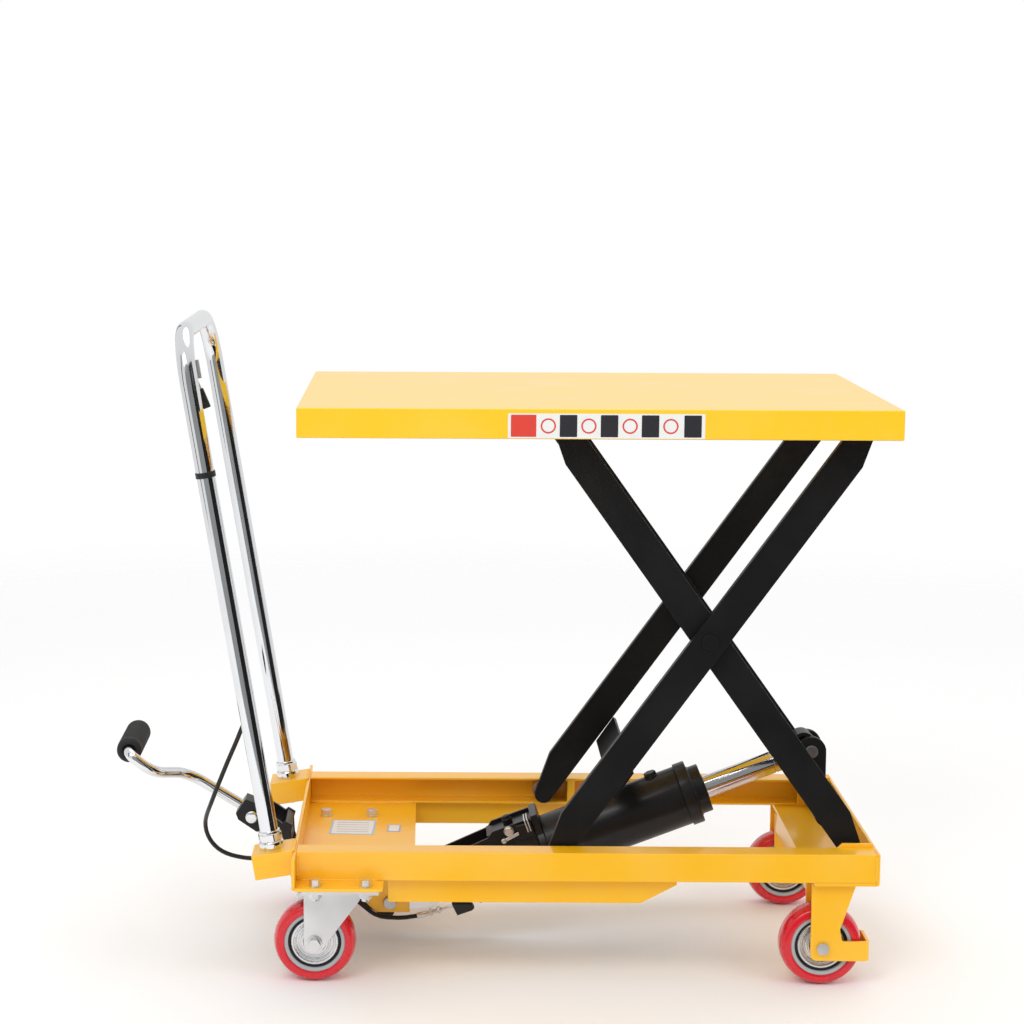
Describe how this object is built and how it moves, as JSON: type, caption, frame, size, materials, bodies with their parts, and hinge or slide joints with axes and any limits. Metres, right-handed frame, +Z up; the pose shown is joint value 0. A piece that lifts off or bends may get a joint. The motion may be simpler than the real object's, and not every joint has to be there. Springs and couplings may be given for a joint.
{
  "type": "scissor lift table",
  "caption": "Mobile lift table: a flat top on one pair of scissor arms, raised by a foot-pumped hydraulic cylinder, on a wheeled frame with swivel casters and a push handle.",
  "frame": {"origin": "on the floor, under the middle of the whole lift's footprint", "axes": "+Z up, +X from the push handle towards the fixed front wheels, +Y to the left when looking along +X"},
  "size_m": [0.938, 0.45, 0.8002],
  "materials": {
    "frame_paint": "yellow gloss powder coat with light orange peel",
    "table_paint": "yellow gloss powder coat",
    "arm_paint": "black satin powder coat",
    "cylinder_paint": "black satin paint",
    "handle_chrome": "bright chrome plate",
    "ram_chrome": "ground and hard-chromed",
    "zinc": "bright zinc plate",
    "pin_steel": "turned steel, zinc plated",
    "tyre_red": "glossy cast polyurethane",
    "rim_metal": "satin pressed metal",
    "black_plastic": "satin moulded plastic",
    "black_rubber": "matt moulded rubber",
    "cable_sheath": "smooth black cable sheath"
  },
  "bodies": {
    "base": {"side_rails": "frame_paint", "rear_end_plate": "frame_paint", "front_end_plate": "frame_paint", "rear_deck": "frame_paint", "front_cross_channel": "frame_paint", "rail_stiffeners": "frame_paint", "cylinder_bracket": "frame_paint", "handle_stubs": "frame_paint", "front_wheel_brackets": "frame_paint", "arm_pivot_plates": "frame_paint", "arm_pivot_pins": "pin_steel", "cylinder_pin": "pin_steel", "handle_tube": "handle_chrome", "handle_nuts": "handle_chrome", "release_lever_bracket": "zinc", "release_cable": "cable_sheath", "caster_plates": "zinc", "caster_bolts": "zinc", "front_axles": "zinc"},
    "inner_arms": {"inner_arms": "arm_paint", "ram_lugs": "arm_paint", "lug_pin": "pin_steel"},
    "outer_arms": {"outer_arms": "arm_paint", "cross_brace": "arm_paint", "centre_bolts": "arm_paint"},
    "table": {"table_top": "table_paint", "table_channels": "table_paint", "table_brackets": "table_paint", "table_pivot_pins": "pin_steel"},
    "cylinder": {"cylinder_barrel": "cylinder_paint", "gland_cap": "cylinder_paint", "pump_block": "cylinder_paint", "pump_frame": "cylinder_paint", "cylinder_fittings": "cylinder_paint"},
    "ram": {"ram_rod": "ram_chrome", "ram_eye": "cylinder_paint"},
    "plunger": {"pump_plunger": "ram_chrome"},
    "pedal": {"pedal_lever": "cylinder_paint", "pedal_rod": "handle_chrome", "pedal_grip": "black_rubber", "pedal_clamp_bolt": "zinc"},
    "hand_lever": {"release_hand_lever": "zinc", "hand_lever_sleeve": "black_plastic"},
    "valve_arm": {"release_valve_arm": "black_plastic"},
    "caster_left": {"caster_fork_left": "zinc", "caster_axle_left": "zinc"},
    "caster_wheel_left": {"caster_tyre_left": "tyre_red", "caster_hub_left": "rim_metal"},
    "front_wheel_left": {"front_tyre_left": "tyre_red", "front_hub_left": "rim_metal"},
    "base_roller_left": {"base_roller_left": "pin_steel"},
    "table_roller_left": {"table_roller_left": "pin_steel"},
    "caster_right": {"caster_fork_right": "zinc", "caster_axle_right": "zinc"},
    "caster_wheel_right": {"caster_tyre_right": "tyre_red", "caster_hub_right": "rim_metal"},
    "front_wheel_right": {"front_tyre_right": "tyre_red", "front_hub_right": "rim_metal"},
    "base_roller_right": {"base_roller_right": "pin_steel"},
    "table_roller_right": {"table_roller_right": "pin_steel"}
  },
  "joints": [
    {"name": "lift", "type": "hinge", "parent": "base", "child": "inner_arms", "pos_m": [0.4444, 0, 0.1518], "axis": [0, 1, 0], "range_deg": [-51.2, 1.5]},
    {"name": "scissor_pivot", "type": "hinge", "parent": "inner_arms", "child": "outer_arms", "pos_m": [0.26103, 0, 0.42061], "axis": [0, 1, 0], "range_deg": [-3.01, 102.41]},
    {"name": "table_pivot", "type": "hinge", "parent": "outer_arms", "child": "table", "pos_m": [0.4444, 0, 0.68942], "axis": [0, 1, 0], "range_deg": [-51.21, 1.51]},
    {"name": "cylinder_tilt", "type": "hinge", "parent": "base", "child": "cylinder", "pos_m": [-0.1245, 0, 0.061], "axis": [0, 1, 0], "range_deg": [-0.2, 4.8]},
    {"name": "ram_slide", "type": "slide", "parent": "cylinder", "child": "ram", "axis": [0.933, 0, 0.36], "range_m": [-0.0836, 0.0027]},
    {"name": "pedal_pump", "type": "hinge", "parent": "cylinder", "child": "pedal", "pos_m": [-0.1245, 0, 0.061], "axis": [0, 1, 0], "range_deg": [-25, 0]},
    {"name": "plunger_slide", "type": "slide", "parent": "cylinder", "child": "plunger", "axis": [0.933, 0, 0.36], "range_m": [0, 0.0068]},
    {"name": "hand_release", "type": "hinge", "parent": "base", "child": "hand_lever", "pos_m": [-0.36119, -0.14, 0.7481], "axis": [0, 1, 0], "range_deg": [0, 10]},
    {"name": "release_valve", "type": "hinge", "parent": "cylinder", "child": "valve_arm", "pos_m": [-0.02829, -0.033, 0.06168], "axis": [0, 1, 0], "range_deg": [-0.01, 20.01]},
    {"name": "caster_swivel_left", "type": "hinge", "parent": "base", "child": "caster_left", "pos_m": [-0.181, 0.147, 0.118], "axis": [0, 0, 1], "continuous": true},
    {"name": "caster_wheel_left_spin", "type": "hinge", "parent": "caster_left", "child": "caster_wheel_left", "pos_m": [-0.214, 0.147, 0.05], "axis": [0, 1, 0], "continuous": true},
    {"name": "front_wheel_left_spin", "type": "hinge", "parent": "base", "child": "front_wheel_left", "pos_m": [0.401, 0.149, 0.05], "axis": [0, 1, 0], "continuous": true},
    {"name": "base_roller_left_spin", "type": "hinge", "parent": "outer_arms", "child": "base_roller_left", "pos_m": [0.07766, 0.164, 0.1518], "axis": [0, 1, 0], "continuous": true},
    {"name": "table_roller_left_spin", "type": "hinge", "parent": "inner_arms", "child": "table_roller_left", "pos_m": [0.07766, 0.158, 0.68942], "axis": [0, 1, 0], "continuous": true},
    {"name": "caster_swivel_right", "type": "hinge", "parent": "base", "child": "caster_right", "pos_m": [-0.181, -0.147, 0.118], "axis": [0, 0, 1], "continuous": true},
    {"name": "caster_wheel_right_spin", "type": "hinge", "parent": "caster_right", "child": "caster_wheel_right", "pos_m": [-0.214, -0.147, 0.05], "axis": [0, 1, 0], "continuous": true},
    {"name": "front_wheel_right_spin", "type": "hinge", "parent": "base", "child": "front_wheel_right", "pos_m": [0.401, -0.149, 0.05], "axis": [0, 1, 0], "continuous": true},
    {"name": "base_roller_right_spin", "type": "hinge", "parent": "outer_arms", "child": "base_roller_right", "pos_m": [0.07766, -0.164, 0.1518], "axis": [0, 1, 0], "continuous": true},
    {"name": "table_roller_right_spin", "type": "hinge", "parent": "inner_arms", "child": "table_roller_right", "pos_m": [0.07766, -0.158, 0.68942], "axis": [0, 1, 0], "continuous": true}
  ],
  "couplings": [
    {"joint": "scissor_pivot", "follows": "lift", "ratio": -2},
    {"joint": "table_pivot", "follows": "lift", "ratio": 1},
    {"joint": "cylinder_tilt", "follows": "lift", "ratio": -0.091093},
    {"joint": "ram_slide", "follows": "lift", "m_per_rad": 0.093193},
    {"joint": "plunger_slide", "follows": "pedal_pump", "m_per_rad": -0.0154},
    {"joint": "release_valve", "follows": "hand_release", "ratio": 2}
  ]
}
